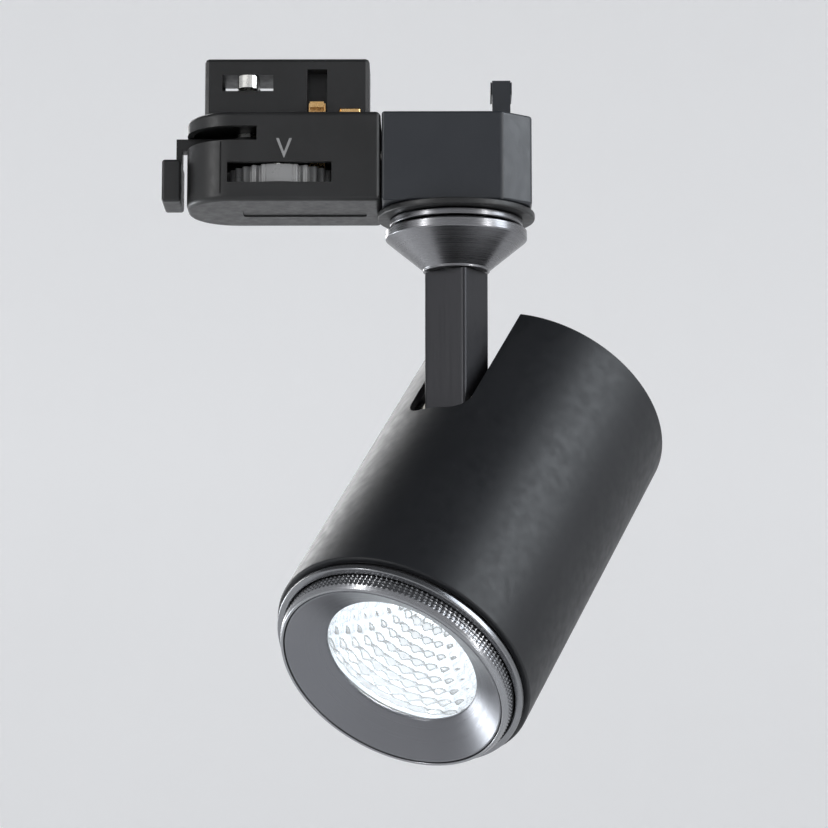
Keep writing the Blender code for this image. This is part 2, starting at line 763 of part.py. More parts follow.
def make_rear_cover(head, metal, steel):
    """Vented rear cover, recessed in the housing and notched for the stem."""
    cut_low, cut_high = COVER_FRONT - WALL, COVER_BACK + PAST_SEAT
    cover = rod("rear_cover", FIT_RADIUS, COVER_FRONT, COVER_BACK, metal, head, segments=48)
    notch_half = SLOT_HALF_WIDTH + 0.0002
    notch_end = -0.0212
    notch_corner = 0.003
    notch_low = (-notch_half, -HEAD_RADIUS - PAST_SEAT, cut_low)
    notch = box("cutter_cover_notch", notch_low, (notch_half, notch_end, cut_high), None, head)
    bevel(notch, notch_corner, 3, 60)
    cut(cover, notch)
    vent_count = 7
    vent_pitch = 0.0068
    vent_half = 0.0016
    vent_arch = 0.0285
    vent_spread = 0.036
    for index in range(vent_count):
        x = (index - (vent_count - 1) / 2) * vent_pitch
        reach = vent_arch * math.sqrt(1 - (x / vent_spread) ** 2)
        low_y = -0.0145 if abs(x) < notch_half + vent_pitch else -reach * 0.55
        high_y = reach * 0.86 if abs(x) > vent_pitch / 2 else 0.021
        outline = arc((x, high_y - vent_half), vent_half, 0, 180, 3)
        outline += arc((x, low_y + vent_half), vent_half, 180, 360, 3)
        cut(cover, prism(f"cutter_vent_{index + 1}", outline, cut_low, cut_high, None, head))
    tip = 0.098
    seat = COVER_BACK + GAP
    crown = COVER_BACK + 0.0019
    for number, (x, y) in enumerate(cover_screw_places(), 1):
        hole_name = f"cutter_cover_hole_{number}"
        cut(cover, rod(hole_name, SCREW_HOLE, cut_low, cut_high, None, head, (x, y, 0), 12))
        profile = [
            (0, tip),
            (SCREW_RADIUS, tip),
            (SCREW_RADIUS, seat),
            (SCREW_HEAD_RADIUS, seat),
            (SCREW_HEAD_RADIUS, seat + 0.0009),
            (SCREW_HEAD_RADIUS - 0.0009, crown),
            (0, crown),
        ]
        turned(f"cover_screw_{number}", profile, steel, head, (x, y, 0), 14)


def make_heat_sink(head, bracket, alloy, steel):
    """Round base with parallel fins behind it, a thick middle rib for the clevis, and the screws into it."""
    front = 0.040
    back = 0.064
    fin_root = 0.0455
    sink = rod("heat_sink", FIT_RADIUS, front, back, alloy, head, segments=48)
    rib_half = 0.007
    gap_width = 0.0042
    pitch = 0.0064
    for side in (-1, 1):
        for index in range(5):
            middle = side * (rib_half + gap_width / 2 + index * pitch)
            name = f"cutter_fin_gap_{'right' if side > 0 else 'left'}_{index + 1}"
            low = (middle - gap_width / 2, -HEAD_RADIUS, fin_root)
            high = (middle + gap_width / 2, HEAD_RADIUS, back + WALL)
            cut(sink, box(name, low, high, None, head))
    screw_tip = 0.055
    screw_seat = 0.0669
    screw_top = 0.0687
    for number, y in ((1, -0.0115), (2, -0.0192)):
        place = (0, y, 0)
        hole_name = f"cutter_bracket_hole_{number}"
        hole = rod(hole_name, SCREW_HOLE, screw_tip - 0.001, screw_top, None, head, place, 14)
        cut(sink, hole)
        cut(bracket, hole)
        profile = [
            (0, screw_tip),
            (SCREW_RADIUS, screw_tip),
            (SCREW_RADIUS, screw_seat),
            (SCREW_HEAD_RADIUS, screw_seat),
            (SCREW_HEAD_RADIUS, screw_top),
            (0, screw_top),
        ]
        turned(f"bracket_screw_{number}", profile, steel, head, place, 14)
    for number, side in ((1, -1), (2, 1)):
        place = (side * HOLDER_SCREW_X, 0, 0)
        hole_name = f"cutter_holder_hole_{number}"
        cut(sink, rod(hole_name, SCREW_HOLE, front - WALL, 0.0445, None, head, place, 14))
    return sink


def make_light_engine(head, sink, steel, ivory, phosphor, white, grey, cord):
    """Pad, board, emitter and holder in front of the heat sink, with the driver behind it."""
    pad_half = 0.0125
    box("thermal_pad", (-pad_half, -pad_half, 0.0393), (pad_half, pad_half, 0.0397), grey, head)
    board_half = 0.012
    board_front = 0.0375
    board_back = 0.039
    board_low = (-board_half, -board_half, board_front)
    box("cob_board", board_low, (board_half, board_half, board_back), white, head)
    emitter_radius = 0.009
    emitter_back = board_front - GAP
    emitter_front = 0.036
    emitter = [
        (0, emitter_back),
        (emitter_radius, emitter_back),
        (emitter_radius, emitter_back - 0.0006),
        (emitter_radius - 0.0012, emitter_front + 0.0002),
        (0, emitter_front),
    ]
    turned("cob_emitter", emitter, phosphor, head, segments=20)
    holder_radius = 0.021
    holder_front = 0.0344
    bore = 0.0105
    holder = tube("cob_holder", holder_radius, bore, holder_front, emitter_back, ivory, head, segments=28)
    head_radius = 0.0024
    head_front = 0.0325
    head_back = holder_front - GAP
    tip = 0.0438
    for number, side in ((1, -1), (2, 1)):
        place = (side * HOLDER_SCREW_X, 0, 0)
        hole_name = f"cutter_holder_{number}"
        cut(holder, rod(hole_name, SCREW_HOLE, head_front, board_back, None, head, place, 14))
        profile = [
            (0, head_front),
            (head_radius, head_front),
            (head_radius, head_back),
            (SCREW_RADIUS, head_back),
            (SCREW_RADIUS, tip),
            (0, tip),
        ]
        turned(f"holder_screw_{number}", profile, steel, head, place, 14)
    driver_half = 0.0195
    driver_low = (-driver_half, -0.0055, 0.0643)
    driver_edge = 0.0015
    driver = box("driver_module", driver_low, (driver_half, 0.0265, 0.095), white, head)
    bevel(driver, driver_edge, 2)
    lead_x = -0.0155
    lead_y = 0.0205
    lead_radius = 0.0009
    hole_radius = 2 * lead_radius
    cut(sink, rod("cutter_lead_hole", hole_radius, 0.03, 0.05, None, head, (lead_x, lead_y, 0), 14))
    route = [
        (lead_x, lead_y, 0.0638),
        (lead_x, lead_y, 0.055),
        (lead_x, lead_y, 0.044),
        (lead_x, lead_y - 0.0003, 0.0405),
        (lead_x + 0.0004, lead_y - 0.0025, 0.0384),
        (lead_x + 0.0012, lead_y - 0.008, 0.0383),
        (lead_x + 0.0016, lead_y - 0.014, 0.0383),
    ]
    lead("driver_lead", route, lead_radius, cord, head)


def make_optics(head, mirror, glass, rubber):
    """Reflector cup, front glass and the gasket between them."""
    back = 0.034
    front = 0.0062
    throat = 0.0102
    mouth = 0.0275
    thickness = 0.0011
    steps = 5
    inner = []
    for index in range(steps + 1):
        along = index / steps
        radius = throat + (mouth - throat) * along**0.72
        inner.append((radius, back + (front - back) * along))
    lift = 0.0002
    outer = [(radius + thickness, depth + lift) for radius, depth in reversed(inner[1:])]
    flange_radius = 0.0355
    flange_front = 0.005
    flange = [(mouth, flange_front), (flange_radius, flange_front), (flange_radius, front)]
    # The outline runs up the inside, over the flange and back down the outside.
    profile = inner + flange + outer + [(throat + thickness, back)]
    turned("reflector", profile, mirror, head, segments=32)
    glass_radius = 0.0316
    glass_front, glass_back = 0.0012, 0.0034
    rod("front_glass", glass_radius, glass_front, glass_back, glass, head, segments=32)
    gasket_bore = 0.0287
    gasket_front = glass_back + GAP
    gasket_back = flange_front - GAP
    tube("glass_gasket", glass_radius, gasket_bore, gasket_front, gasket_back, rubber, head, segments=32)


def make_front(head, bezel, metal, knurled, satin):
    """Stepped mouth ring on the housing, and the bayonet bezel with its conical glare baffle."""
    lip = 0.0384
    ring_out = HEAD_BORE - GAP
    ring_in = BEZEL_RADIUS + 0.0004
    ring_back = 0.008
    lip_front = -0.003
    edge = 0.0004
    ring = [
        (ring_in, ring_back),
        (ring_in, lip_front + edge),
        (ring_in + edge, lip_front),
        (lip - edge, lip_front),
        (lip, lip_front + edge),
        (lip, -GAP),
        (ring_out, -GAP),
        (ring_out, ring_back),
    ]
    turned("front_ring", ring, metal, head, segments=48)
    rim = -BEZEL_PROTRUSION
    back = 0.004
    bezel_profile = [
        (BEZEL_BORE, back),
        (BEZEL_BORE, rim + edge / 2),
        (BEZEL_BORE + edge / 2, rim),
        (BEZEL_BORE + 2 * edge, rim),
        (BEZEL_RADIUS - edge, rim + 3 * edge),
        (BEZEL_RADIUS, rim + 4 * edge),
        (BEZEL_RADIUS, back),
    ]
    turned("bezel_ring", bezel_profile, knurled, bezel, segments=48)
    skirt_out = BEZEL_BORE - GAP
    skirt_in = skirt_out - 0.0015
    aperture_depth = rim + 0.0073
    baffle = [
        (skirt_out, back),
        (skirt_out, rim + 0.0012),
        (skirt_out - edge, rim + 0.0011),
        (APERTURE_RADIUS, aperture_depth),
        (APERTURE_RADIUS, aperture_depth + 0.001),
        (skirt_in, rim + 0.0045),
        (skirt_in, back),
    ]
    turned("glare_baffle", baffle, satin, bezel, segments=40)


def main():
    clear_scene()
    plastic = material("black_plastic", (0.02, 0.02, 0.021), 0.5, 0.0)
    metal = material("dark_painted_metal", (0.035, 0.036, 0.04), 0.55, 0.0)
    gunmetal = material("gunmetal_satin", (0.16, 0.16, 0.17), 0.3, 1.0)
    steel = material("zinc_steel", (0.6, 0.6, 0.6), 0.35, 1.0)
    brass = material("contact_brass", (0.75, 0.45, 0.2), 0.3, 1.0)
    ivory = material("ivory_moulding", (0.75, 0.72, 0.65), 0.5, 0.0)
    white = material("white_board", (0.85, 0.85, 0.84), 0.5, 0.0)
    phosphor = material("phosphor", (0.95, 0.8, 0.3), 0.5, 0.0)
    grey = material("grey_pad", (0.35, 0.37, 0.4), 0.7, 0.0)
    alloy = material("bare_alloy", (0.7, 0.7, 0.71), 0.4, 1.0)
    mirror = material("bright_reflector", (0.9, 0.9, 0.91), 0.12, 1.0)
    glass = material("clear_glass", (0.95, 0.97, 0.97), 0.05, 0.0)
    rubber = material("black_rubber", (0.03, 0.03, 0.03), 0.8, 0.0)
    satin = material("dark_satin_baffle", (0.12, 0.12, 0.13), 0.35, 0.6)
    cord = material("lead_jacket", (0.05, 0.05, 0.05), 0.6, 0.0)

    root = empty("adapter", None, (0, 0, 0))
    pan = empty("pan_axis", root, (0, 0, 0), (0, 0, -PAN_HEADING))
    tilt = empty("tilt_axis", pan, (0, 0, PIVOT_Z), (-TILT_AT_REST, 0, 0))
    # The head frame has +Z along the lamp's axis towards its back, and the slot on its -Y side.
    head = empty("head_axis", tilt, (0, PIVOT_OFFSET, -PIVOT_DEPTH))
    bezel = empty("bezel_axis", head, (0, 0, 0))

    body = make_module(root, plastic)
    make_tongue(root, plastic)
    make_contacts(root, brass)
    make_lever(root, plastic, steel)
    make_dial(root, plastic, steel)
    block = make_block(root, metal)
    make_block_fittings(root, ivory, cord)
    make_body_screws(root, body, block, steel)
    make_swivel(root, pan, plastic, gunmetal, steel)
    make_stem(pan, metal, cord)
    make_tilt_joint(tilt, steel, ivory)
    bracket = make_bracket(head, steel)
    make_housing(head, metal)
    make_rear_cover(head, metal, steel)
    sink = make_heat_sink(head, bracket, alloy, steel)
    make_light_engine(head, sink, steel, ivory, phosphor, white, grey, cord)
    make_optics(head, mirror, glass, rubber)
    make_front(head, bezel, metal, metal, satin)


main()
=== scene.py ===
"""Looks of the track spotlight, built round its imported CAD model. Metres, +Z up, in the CAD's frame."""

import json
import math

import bmesh
import bpy
from mathutils import Matrix, Vector


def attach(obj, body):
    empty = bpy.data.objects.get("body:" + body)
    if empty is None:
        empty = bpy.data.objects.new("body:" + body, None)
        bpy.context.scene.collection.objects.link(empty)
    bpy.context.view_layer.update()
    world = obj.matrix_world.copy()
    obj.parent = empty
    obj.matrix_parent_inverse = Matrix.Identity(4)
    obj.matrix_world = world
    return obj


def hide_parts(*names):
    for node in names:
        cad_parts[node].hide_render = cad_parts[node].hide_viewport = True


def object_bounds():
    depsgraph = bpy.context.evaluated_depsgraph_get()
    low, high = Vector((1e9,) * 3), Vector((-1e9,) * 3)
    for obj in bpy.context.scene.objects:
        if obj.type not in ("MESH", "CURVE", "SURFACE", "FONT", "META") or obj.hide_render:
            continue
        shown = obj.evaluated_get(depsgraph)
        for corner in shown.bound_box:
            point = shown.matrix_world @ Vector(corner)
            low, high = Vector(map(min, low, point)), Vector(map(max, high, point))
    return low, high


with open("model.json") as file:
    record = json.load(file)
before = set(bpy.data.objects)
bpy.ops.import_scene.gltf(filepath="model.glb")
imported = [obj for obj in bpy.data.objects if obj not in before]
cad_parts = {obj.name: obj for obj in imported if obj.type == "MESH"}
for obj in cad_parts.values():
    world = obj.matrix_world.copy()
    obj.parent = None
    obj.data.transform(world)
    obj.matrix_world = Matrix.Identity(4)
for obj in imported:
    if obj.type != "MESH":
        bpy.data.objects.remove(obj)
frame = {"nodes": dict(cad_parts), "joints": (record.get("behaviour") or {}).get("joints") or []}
cad_low, cad_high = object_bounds()

# Camera: the viewer stands a metre away and a little below, and looks up at the lamp.
VIEWER = Vector((-0.006, -1.02, -0.263))
LENS = 150
SENSOR = 36

GAP = 0.0003
TINY = 1e-9


# ---------------------------------------------------------------- frames of reference


def axes(origin, x_axis, z_axis):
    """A frame of reference from its origin and two of its directions."""
    z = Vector(z_axis).normalized()
    x = Vector(x_axis)
    x = (x - x.dot(z) * z).normalized()
    y = z.cross(x)
    return Matrix.Translation(Vector(origin)) @ Matrix((x, y, z)).transposed().to_4x4()


joints = {joint["name"]: joint for joint in frame["joints"]}
across = -Vector(joints["tilt"]["axis"])
mouth_centre = Vector(joints["bezel_turn"]["pos_m"])
beam = Vector(joints["bezel_turn"]["axis"])

# The adapter's frame is the CAD frame. In the swivel's, X runs along the tilt axis. In the head's, +Z runs
# from the mouth to the back along the lamp's axis, and the stem's slot is on the -Y side.
ADAPTER = Matrix.Identity(4)
SWIVEL = axes((0, 0, 0), across, (0, 0, 1))
HEAD = axes(mouth_centre, across, -beam)
DIAL = Matrix.Translation(Vector(joints["dial_turn"]["pos_m"]) * Vector((1, 1, 0)))
LEVER = Matrix.Translation(Vector(joints["lever_turn"]["pos_m"]) * Vector((1, 1, 0)))


def points_in(node, place):
    to_local = place.inverted()
    return [to_local @ vertex.co for vertex in frame["nodes"][node].data.vertices]


def span(node, place=ADAPTER):
    """Lowest and highest corner of a CAD node in a frame of reference."""
    points = points_in(node, place)
    low = Vector([min(point[axis] for point in points) for axis in range(3)])
    high = Vector([max(point[axis] for point in points) for axis in range(3)])
    return low, high


def reach(node, place):
    """Largest distance of a CAD node from its frame's Z axis."""
    return max(math.hypot(point.x, point.y) for point in points_in(node, place))


def clearance(node, place):
    """Smallest distance of a ring's points from its frame's Z axis."""
    return min(math.hypot(point.x, point.y) for point in points_in(node, place))


# ---------------------------------------------------------------- mesh tools


def new_piece(name, bm):
    bmesh.ops.remove_doubles(bm, verts=bm.verts, dist=1e-7)
    bmesh.ops.recalc_face_normals(bm, faces=bm.faces)
    mesh = bpy.data.meshes.new(name)
    bm.to_mesh(mesh)
    bm.free()
    piece = bpy.data.objects.new(name, mesh)
    bpy.context.scene.collection.objects.link(piece)
    return piece


def arc(centre, radius, start, end, steps):
    """Points of an arc, angles in degrees."""
    points = []
    for index in range(steps + 1):
        angle = math.radians(start + (end - start) * index / steps)
        points.append((centre[0] + radius * math.cos(angle), centre[1] + radius * math.sin(angle)))
    return points


def rounded(outline, radius, steps=4, least_turn=20):
    """A closed outline with each sharp corner rounded off over the given distance."""
    result = []
    count = len(outline)
    for index, corner in enumerate(outline):
        here = Vector(corner)
        before = Vector(outline[index - 1]) - here
        after = Vector(outline[(index + 1) % count]) - here
        turn = 180 - math.degrees(before.angle(after, math.pi))
        reachable = min(radius, 0.48 * before.length, 0.48 * after.length)
        if turn < least_turn or reachable < TINY:
            result.append(tuple(here))
            continue
        start = here + before.normalized() * reachable
        end = here + after.normalized() * reachable
        for step in range(steps + 1):
            t = step / steps
            result.append(tuple(start * (1 - t) ** 2 + here * 2 * t * (1 - t) + end * t**2))
    return result


def lathe(name, profile, segments=128, place=(0, 0), closed=True):
    """Turns a (radius, height) outline about an axis parallel to Z."""
    bm = bmesh.new()
    rings = []
    for radius, height in profile:
        if radius < TINY:
            rings.append([bm.verts.new((place[0], place[1], height))] * segments)
            continue
        ring = []
        for index in range(segments):
            angle = 2 * math.pi * index / segments
            x = place[0] + radius * math.cos(angle)
            y = place[1] + radius * math.sin(angle)
            ring.append(bm.verts.new((x, y, height)))
        rings.append(ring)
    if closed:
        rings.append(rings[0])
    for first, second in zip(rings, rings[1:]):
        for index in range(segments):
            following = (index + 1) % segments
            corners = [first[index], first[following], second[following], second[index]]
            corners = list(dict.fromkeys(corners))
            if len(corners) > 2:
                bm.faces.new(corners)
    return new_piece(name, bm)


def slab(name, outline, low, high):
    """An (x, y) outline extruded along Z."""
    bm = bmesh.new()
    base = bm.faces.new([bm.verts.new((x, y, low)) for x, y in outline])
    grown = bmesh.ops.extrude_face_region(bm, geom=[base])
    top = [item for item in grown["geom"] if isinstance(item, bmesh.types.BMVert)]
    bmesh.ops.translate(bm, verts=top, vec=(0, 0, high - low))
    return new_piece(name, bm)


def block(name, low, high, corner=0.0, steps=4):
    outline = [(low[0], low[1]), (high[0], low[1]), (high[0], high[1]), (low[0], high[1])]
    if corner:
        outline = rounded(outline, corner, steps)
    return slab(name, outline, low[2], high[2])


def turn(piece, matrix):
    piece.data.transform(matrix)
    return piece


def finished(piece):
    """Applies the piece's modifiers to its mesh."""
    graph = bpy.context.evaluated_depsgraph_get()
    mesh = bpy.data.meshes.new_from_object(piece.evaluated_get(graph))
    piece.modifiers.clear()
    old = piece.data
    piece.data = mesh
    bpy.data.meshes.remove(old)
    return piece


def carve(piece, *cutters, operation="DIFFERENCE"):
    """Cuts each cutter from the piece, or joins it on, and removes the cutter."""
    for cutter in cutters:
        boolean = piece.modifiers.new("carve", "BOOLEAN")
        boolean.operation = operation
        boolean.solver = "EXACT"
        boolean.object = cutter
    finished(piece)
    for cutter in cutters:
        bpy.data.objects.remove(cutter, do_unlink=True)
    return piece


def join_on(piece, *others):
    return carve(piece, *others, operation="UNION")


def soften(piece, width, segments=3, angle=35):
    """Rounds the piece's sharp edges, as a modifier that stays live."""
    bevel = piece.modifiers.new("edge_round", "BEVEL")
    bevel.width = width
    bevel.segments = segments
    bevel.limit_method = "ANGLE"
    bevel.angle_limit = math.radians(angle)
    bevel.use_clamp_overlap = True
    bevel.harden_normals = False
    return piece


def shade(piece, angle=40):
    piece.data.shade_smooth()
    piece.data.set_sharp_from_angle(angle=math.radians(angle))
    even = piece.modifiers.new("even_shading", "WEIGHTED_NORMAL")
    even.keep_sharp = True
    even.weight = 80
    return piece


def settle(piece, place, body, slot, finish, *nodes):
    """Puts a piece in its place, gives it its finish and lets it stand for its CAD nodes."""
    turn(piece, place)
    piece.data.materials.clear()
    piece.data.materials.append(finish)
    for polygon in piece.data.polygons:
        polygon.material_index = 0
    shade(piece)
    if nodes:
        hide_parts(*nodes)
    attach(piece, body)
    return piece


# ---------------------------------------------------------------- materials


class Finish:
    """A principled material under construction, with short names for the nodes it uses."""

    def __init__(self, name, colour, roughness, metallic=0.0):
        self.material = bpy.data.materials.new(name)
        self.material.use_nodes = True
        self.tree = self.material.node_tree
        self.shader = self.tree.nodes["Principled BSDF"]
        self.shader.inputs["Base Color"].default_value = (*colour, 1)
        self.shader.inputs["Roughness"].default_value = roughness
        self.shader.inputs["Metallic"].default_value = metallic
        self.where = self.node("ShaderNodeTexCoord").outputs["Object"]

    def node(self, kind, **settings):
        made = self.tree.nodes.new(kind)
        for key, value in settings.items():
            setattr(made, key, value)
        return made

    def link(self, source, target):
        self.tree.links.new(source, target)

    def set(self, socket, value):
        """A uniform value, set on the shader's own socket."""
        self.shader.inputs[socket].default_value = value
        return self

    def glow(self, colour, strength):
        return self.set("Emission Color", (*colour, 1)).set("Emission Strength", strength)

    def local(self, place):
        """Coordinates in the frame of reference of the piece."""
        mapping = self.node("ShaderNodeMapping", vector_type="TEXTURE")
        mapping.inputs["Location"].default_value = place.to_translation()
        mapping.inputs["Rotation"].default_value = place.to_euler("XYZ")
        self.link(self.where, mapping.inputs["Vector"])
        self.where = mapping.outputs["Vector"]
        return self

    def noise(self, scale, detail=2.0, where=None):
        noise = self.node("ShaderNodeTexNoise")
        noise.inputs["Scale"].default_value = scale
        noise.inputs["Detail"].default_value = detail
        self.link(where or self.where, noise.inputs["Vector"])
        return noise.outputs["Fac"]

    def spread(self, source, low, high):
        """Maps the middle of a noise to a range of values."""
        mapped = self.node("ShaderNodeMapRange")
        mapped.inputs["From Min"].default_value = 0.3
        mapped.inputs["From Max"].default_value = 0.7
        mapped.inputs["To Min"].default_value = low
        mapped.inputs["To Max"].default_value = high
        self.link(source, mapped.inputs["Value"])
        return mapped.outputs["Result"]

    def vary_roughness(self, scale, low, high, where=None):
        self.link(self.spread(self.noise(scale, 3.0, where), low, high), self.shader.inputs["Roughness"])
        return self

    def vary_colour(self, scale, first, second, where=None):
        ramp = self.node("ShaderNodeValToRGB")
        ramp.color_ramp.elements[0].position = 0.35
        ramp.color_ramp.elements[0].color = (*first, 1)
        ramp.color_ramp.elements[1].position = 0.65
        ramp.color_ramp.elements[1].color = (*second, 1)
        self.link(self.noise(scale, 4.0, where), ramp.inputs["Fac"])
        self.link(ramp.outputs["Color"], self.shader.inputs["Base Color"])
        return self

    def bump(self, height, distance, strength=1.0):
        bump = self.node("ShaderNodeBump")
        bump.inputs["Strength"].default_value = strength
        bump.inputs["Distance"].default_value = distance
        self.link(height, bump.inputs["Height"])
        previous = self.shader.inputs["Normal"]
        if previous.is_linked:
            self.link(previous.links[0].from_socket, bump.inputs["Normal"])
        self.link(bump.outputs["Normal"], previous)
        return self

    def turned_lines(self, per_metre):
        """Noise that is the same all round the axis, as fine as the marks of a lathe."""
        parts = self.node("ShaderNodeSeparateXYZ")
        self.link(self.where, parts.inputs["Vector"])
        flat = self.node("ShaderNodeCombineXYZ")
        self.link(parts.outputs["X"], flat.inputs["X"])
        self.link(parts.outputs["Y"], flat.inputs["Y"])
        length = self.node("ShaderNodeVectorMath", operation="LENGTH")
        self.link(flat.outputs["Vector"], length.inputs[0])
        profile = self.node("ShaderNodeCombineXYZ")
        self.link(length.outputs["Value"], profile.inputs["X"])
        self.link(parts.outputs["Z"], profile.inputs["Z"])
        return self.noise(per_metre, 1.0, profile.outputs["Vector"])

    def done(self):
        return self.material


def make_finishes():
    made = {}
    plastic = Finish("black_moulded_plastic", (0.01, 0.01, 0.01), 0.42).set("Specular IOR Level", 0.4)
    plastic.vary_colour(60, (0.0085, 0.0085, 0.0085), (0.012, 0.012, 0.0125))
    plastic.vary_roughness(420, 0.36, 0.48)
    plastic.bump(plastic.noise(5200, 1.0), 0.00002, 0.5)
    made["plastic"] = plastic.done()

    gloss = Finish("grey_dial_plastic", (0.2, 0.2, 0.2), 0.3)
    gloss.vary_roughness(500, 0.26, 0.36)
    made["dial"] = gloss.done()

    mark = Finish("grey_index_paint", (0.2, 0.2, 0.2), 0.5)
    mark.vary_colour(900, (0.17, 0.17, 0.17), (0.23, 0.23, 0.23))
    made["mark"] = mark.done()

    powder = Finish("dark_powder_coat", (0.009, 0.0096, 0.0112), 0.46).set("Specular IOR Level", 0.29)
    powder.vary_colour(35, (0.008, 0.0086, 0.0101), (0.0101, 0.0107, 0.0123))
    powder.vary_roughness(300, 0.4, 0.5)
    powder.bump(powder.noise(1500, 2.0), 0.00004, 0.2)
    made["powder"] = powder.done()

    block_coat = Finish("block_powder_coat", (0.017, 0.019, 0.023), 0.48).set("Specular IOR Level", 0.4)
    block_coat.vary_colour(50, (0.0155, 0.0175, 0.0215), (0.0185, 0.0205, 0.0245))
    block_coat.vary_roughness(320, 0.34, 0.42)
    block_coat.bump(block_coat.noise(1700, 2.0), 0.00004, 0.3)
    made["block"] = block_coat.done()

    made["ring"] = turned_metal("turned_ring_coat", HEAD, (0.2, 0.203, 0.212), 0.22, 0.9).done()
    made["bezel"] = turned_metal("bezel_coat", HEAD, (0.25, 0.254, 0.265), 0.24, 0.95).done()
    made["gunmetal"] = turned_metal("satin_gunmetal", SWIVEL, (0.19, 0.19, 0.198), 0.27, 1.0).done()
    made["baffle"] = turned_metal("satin_baffle", HEAD, (0.16, 0.163, 0.175), 0.32, 0.9).done()

    stem = Finish("dark_drawn_steel", (0.028, 0.028, 0.031), 0.3, 0.7)
    drawn = stem.node("ShaderNodeMapping")
    drawn.inputs["Scale"].default_value = (1, 1, 0.03)
    stem.link(stem.where, drawn.inputs["Vector"])
    stem.vary_roughness(1400, 0.3, 0.42, drawn.outputs["Vector"])
    stem.bump(stem.noise(3500, 2.0, drawn.outputs["Vector"]), 0.00001, 0.5)
    made["stem"] = stem.done()

    steel = Finish("zinc_plated_steel", (0.62, 0.62, 0.6), 0.3, 1.0)
    steel.vary_colour(260, (0.56, 0.57, 0.56), (0.68, 0.67, 0.63))
    steel.vary_roughness(700, 0.24, 0.38)
    made["steel"] = steel.done()

    brass = Finish("contact_brass", (0.72, 0.46, 0.2), 0.28, 1.0)
    brass.vary_colour(320, (0.66, 0.41, 0.17), (0.78, 0.52, 0.25))
    brass.vary_roughness(900, 0.2, 0.36)
    made["brass"] = brass.done()

    ivory = Finish("ivory_moulding", (0.74, 0.71, 0.64), 0.45)
    ivory.vary_colour(90, (0.71, 0.68, 0.6), (0.77, 0.74, 0.67))
    ivory.bump(ivory.noise(3000), 0.00002, 0.4)
    made["ivory"] = ivory.done()

    white = Finish("white_ceramic", (0.84, 0.84, 0.83), 0.4)
    white.vary_colour(120, (0.8, 0.8, 0.79), (0.87, 0.87, 0.86))
    made["white"] = white.done()

    grey = Finish("grey_silicone_pad", (0.33, 0.35, 0.38), 0.7)
    grey.vary_colour(300, (0.3, 0.32, 0.35), (0.36, 0.38, 0.41))
    made["grey"] = grey.done()

    alloy = Finish("bare_die_cast_alloy", (0.5, 0.5, 0.51), 0.42, 1.0)
    alloy.vary_roughness(500, 0.36, 0.5)
    alloy.bump(alloy.noise(1800, 3.0), 0.00003, 0.4)
    made["alloy"] = alloy.done()

    rubber = Finish("black_rubber", (0.02, 0.02, 0.02), 0.7)
    rubber.vary_colour(200, (0.016, 0.016, 0.016), (0.026, 0.026, 0.026))
    made["rubber"] = rubber.done()

    jacket = Finish("lead_jacket", (0.03, 0.03, 0.03), 0.5)
    jacket.vary_roughness(600, 0.42, 0.58)
    jacket.bump(jacket.noise(2500), 0.00002, 0.4)
    made["jacket"] = jacket.done()

    mirror = Finish("facets_with_painted_glow", (0.93, 0.94, 0.96), 0.1, 1.0)
    mirror.vary_roughness(800, 0.07, 0.13)
    # The reflector also glows faintly: this is painted light, standing in for the light the cup catches and
    # throws back, since the reflector is no lamp itself.
    made["mirror"] = mirror.glow((0.93, 0.97, 1.0), 0.3).done()

    emitter = Finish("glowing_phosphor", (0.95, 0.85, 0.5), 0.6)
    emitter.vary_colour(900, (0.95, 0.84, 0.45), (0.98, 0.9, 0.6))
    made["emitter"] = emitter.glow((0.95, 0.98, 1.0), 30.0).done()

    glass = Finish("clear_front_glass", (0.98, 1.0, 1.0), 0.02)
    glass.bump(glass.noise(30), 0.00001, 0.2)
    made["glass"] = glass.set("Transmission Weight", 1.0).set("IOR", 1.45).done()
    return made


def turned_metal(name, place, colour, roughness, metallic):
    """Metal or a thin coat on metal that shows the fine marks of the lathe."""
    turned = Finish(name, colour, roughness, metallic).local(place)
    lines = turned.turned_lines(5200)
    turned.link(turned.spread(lines, roughness - 0.05, roughness + 0.07), turned.shader.inputs["Roughness"])
    turned.bump(lines, 0.000012, 0.6)
    return turned


finishes = make_finishes()


# ---------------------------------------------------------------- adapter


def nose_outline(low, high, radius, inset=0.0):
    """Plan of the plastic module: a blunt rounded nose on the left, square on the right."""
    left = low.x + inset
    right = high.x - inset
    half = high.y - inset
    corner = radius - inset
    lower = arc((left + corner, -half + corner), corner, 180, 270, 24)
    upper = arc((left + corner, half - corner), corner, 90, 180, 24)
    return lower + [(right, -half), (right, half)] + upper


